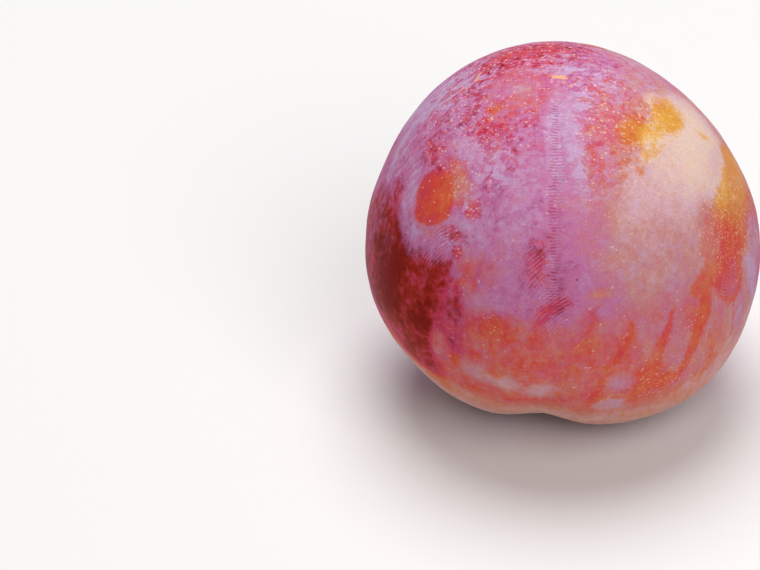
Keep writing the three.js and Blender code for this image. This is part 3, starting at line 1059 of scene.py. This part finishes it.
def stem_scar_places(rays):
    """Millimetres inside the edge of the stem's scar."""
    x, y = laid_flat(rays, *STEM_SCAR)
    return STEM_SCAR_RADIUS - np.hypot(x, y)


def style_scar_places(rays):
    """Millimetres inside the nearest scar of the style."""
    inside = [inside_streak(rays, stops) for _, *stops in STYLE_SCARS]
    return np.clip(np.maximum.reduce(inside), -2, 2)


def shape_details(skin, shape):
    """Presses and raises the suture's crease, the scars and a slight unevenness."""
    rays = rays_of(skin.data)
    across, along = seam_places(rays)
    crease = np.exp(-((across / CREASE_WIDTH) ** 2))
    crease *= smooth(along, *CREASE_START) * (1 - smooth(along, *CREASE_END))
    raise_skin(skin, "crease", crease, -shape.crease_depth)
    roughen(skin, "shoulders", SHOULDER_SIZE, shape.unevenness)
    roughen(skin, "dimples", DIMPLE_SIZE, shape.unevenness * DIMPLE_SHARE)
    raise_skin(skin, "style scar", smooth(style_scar_places(rays), *SCAR_EDGE), shape.scar_height)
    inside = stem_scar_places(rays)
    rim = np.exp(-(((inside - STEM_RIM_INSET) / STEM_RIM_WIDTH) ** 2))
    raise_skin(skin, "stem scar rim", rim, shape.stem_rim_height)
    raise_skin(skin, "stem scar floor", smooth(inside, *STEM_FLOOR_EDGE), -shape.stem_rim_height)
    heights = np.empty(len(rays) * 3)
    skin.data.vertices.foreach_get("co", heights)
    below = np.maximum(-heights[2::3], 0)
    if below.max() > 0:
        raise_skin(skin, "rest", below / below.max(), below.max(), "Z")


def paint_skin(mesh):
    """Lays out every mark on the skin's points, for the material to read."""
    rays = rays_of(mesh)
    for name, (base, strokes) in PAINTED.items():
        store(mesh, name, painted(rays, base, strokes))
    store(mesh, "bare", marked(rays, SPOTS, STREAKS))
    inside, phase = printed(rays, PRINTS)
    store(mesh, "print_inside", inside)
    store(mesh, "print_phase", phase)
    store(mesh, "drop_ring", ringed(rays, DROP_RINGS))
    across, along = seam_places(rays)
    store(mesh, "seam_across", across)
    store(mesh, "seam_along", along)
    store(mesh, "style_scar", style_scar_places(rays))
    store(mesh, "stem_scar", stem_scar_places(rays))


def length(name, description, default):
    """A setting in metres."""
    return FloatProperty(name=name, description=description, default=default, unit="LENGTH")


def tint(name, description, default):
    """A setting that holds a colour."""
    settings = {"default": default, "subtype": "COLOR", "min": 0, "max": 1}
    return FloatVectorProperty(name=title_of(name), description=description, **settings)


class PLUM_PG_shape(bpy.types.PropertyGroup):
    """Sizes of the fruit's skin and of what is pressed into it."""

    cage_cuts: IntProperty(name="Cage Cuts", description="Cuts across each side of the cage", default=63)
    crease_depth: length("Crease Depth", "Depth of the fine line along the suture", 0.1 * MM)
    unevenness: length("Unevenness", "How far the skin rises and falls in soft shoulders", 0.3 * MM)
    scar_height: length("Scar Height", "How far the style scar stands out", 0.12 * MM)
    stem_rim_height: length("Stem Rim Height", "How far the stem scar's rim stands out", 0.25 * MM)


class PLUM_PG_colours(bpy.types.PropertyGroup):
    """Colours of the skin, from least to most pigment, bare and under its usual bloom."""

    __annotations__ = {
        **{name: tint(name, f"Bare {name} skin", bare) for name, _, bare, _ in PIGMENTS},
        **{
            "waxed_" + name: tint("waxed_" + name, f"{name.title()} skin under bloom", waxed)
            for name, _, _, waxed in PIGMENTS
        },
        **{name: tint(name, where, shade) for name, where, shade in OTHER_COLOURS},
    }


class PLUM_PG_studio(bpy.types.PropertyGroup):
    """Where the camera stands, and its lens."""

    camera_elevation: FloatProperty(
        name="Camera Elevation",
        description="Angle that the camera looks down at",
        default=math.radians(36),
        subtype="ANGLE",
    )
    camera_distance: length("Camera Distance", "From the core to the camera", 0.8)
    focal_length: FloatProperty(
        name="Focal Length", description="Of the camera's lens, in millimetres", default=277.0
    )


class PLUM_OT_fruit(bpy.types.Operator):
    """Model the plum's skin and finish it"""

    bl_idname = "plum.fruit"
    bl_label = "Make Fruit"

    def execute(self, context):
        shape = context.scene.plum_shape
        skin = make_skin_mesh(shape)
        shape_details(skin, shape)
        paint_skin(skin.data)
        make_active(skin)
        bpy.ops.object.shade_smooth()
        skin.data.materials.append(skin_material(context.scene.plum_colours))
        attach(skin, BODY)
        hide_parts(NODE)
        return {"FINISHED"}


def add_area_light(name, place, size, power, colour):
    """A soft round lamp that faces the core."""
    lamp = bpy.data.lights.new(name, "AREA")
    lamp.shape = "DISK"
    lamp.size = size
    lamp.energy = power
    lamp.color = colour
    item = bpy.data.objects.new(name, lamp)
    item.location = place
    item.rotation_euler = (CORE - place).to_track_quat("-Z", "Y").to_euler()
    bpy.context.scene.collection.objects.link(item)


class PLUM_OT_stage(bpy.types.Operator):
    """Set the floor, the light and the camera"""

    bl_idname = "plum.stage"
    bl_label = "Set Stage"

    def execute(self, context):
        studio = context.scene.plum_studio
        deselect_all()
        bpy.ops.mesh.primitive_plane_add(size=FLOOR_SIZE)
        floor = context.object
        floor.name = "studio_floor"
        material = bpy.data.materials.new("studio_floor")
        material.use_nodes = True
        shader = material.node_tree.nodes["Principled BSDF"]
        shader.inputs["Base Color"].default_value = (FLOOR_GREY, FLOOR_GREY, FLOOR_GREY, 1)
        shader.inputs["Roughness"].default_value = FLOOR_ROUGHNESS
        shader.inputs["Specular IOR Level"].default_value = FLOOR_SPECULAR
        floor.data.materials.append(material)

        world = context.scene.world or bpy.data.worlds.new("studio")
        context.scene.world = world
        world.use_nodes = True
        sky = world.node_tree.nodes["Background"].inputs
        sky["Color"].default_value = (1, 1, 1, 1)
        sky["Strength"].default_value = WORLD_STRENGTH

        for name, azimuth, elevation, distance, size, power, colour in LIGHTS:
            place = CORE + Vector(direction(azimuth, elevation)) * distance
            add_area_light(name, place, size, power, colour)

        lens = bpy.data.cameras.new("camera")
        lens.lens = studio.focal_length
        lens.sensor_width = SENSOR_WIDTH
        camera = bpy.data.objects.new("camera", lens)
        context.scene.collection.objects.link(camera)
        place_camera(camera, studio)
        context.scene.camera = camera
        context.scene.view_settings.view_transform = "Standard"
        return {"FINISHED"}


def place_camera(camera, studio):
    """Looks down at the fruit's suture side, with the core to the right of its view's centre."""
    e = studio.camera_elevation
    back = Vector((0, -math.cos(e), math.sin(e)))
    right = Vector((1, 0, 0))
    above = back.cross(right)
    place = CORE + back * studio.camera_distance
    aim = CORE - right * CORE_RIGHT_OF_CENTRE - above * CORE_ABOVE_CENTRE
    z = (place - aim).normalized()
    x = (right - z * right.dot(z)).normalized()
    y = z.cross(x)
    turned = Matrix((x, y, z)).transposed().to_4x4()
    camera.matrix_world = Matrix.Translation(place) @ turned


class PLUM_PT_panel(bpy.types.Panel):
    """Sizes, colours and steps of the plum"""

    bl_idname = "PLUM_PT_panel"
    bl_label = "Dessert Plum"
    bl_space_type = "VIEW_3D"
    bl_region_type = "UI"
    bl_category = "Plum"

    def draw(self, context):
        scene = context.scene
        for title, group in (
            ("Shape", scene.plum_shape),
            ("Colours", scene.plum_colours),
            ("Studio", scene.plum_studio),
        ):
            box = self.layout.box()
            box.label(text=title)
            for name in group.__annotations__:
                box.prop(group, name)
        self.layout.operator(PLUM_OT_fruit.bl_idname)
        self.layout.operator(PLUM_OT_stage.bl_idname)


SETTINGS = {
    "plum_shape": PLUM_PG_shape,
    "plum_colours": PLUM_PG_colours,
    "plum_studio": PLUM_PG_studio,
}
CLASSES = (*SETTINGS.values(), PLUM_OT_fruit, PLUM_OT_stage, PLUM_PT_panel)


def register():
    for item in CLASSES:
        bpy.utils.register_class(item)
    for name, group in SETTINGS.items():
        setattr(bpy.types.Scene, name, PointerProperty(type=group))


def unregister():
    for name in SETTINGS:
        delattr(bpy.types.Scene, name)
    for item in reversed(CLASSES):
        bpy.utils.unregister_class(item)


def main():
    """Makes the plum and its stage."""
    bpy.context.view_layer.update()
    register()
    bpy.ops.plum.fruit()
    bpy.ops.plum.stage()


if __name__ == "__main__":
    main()
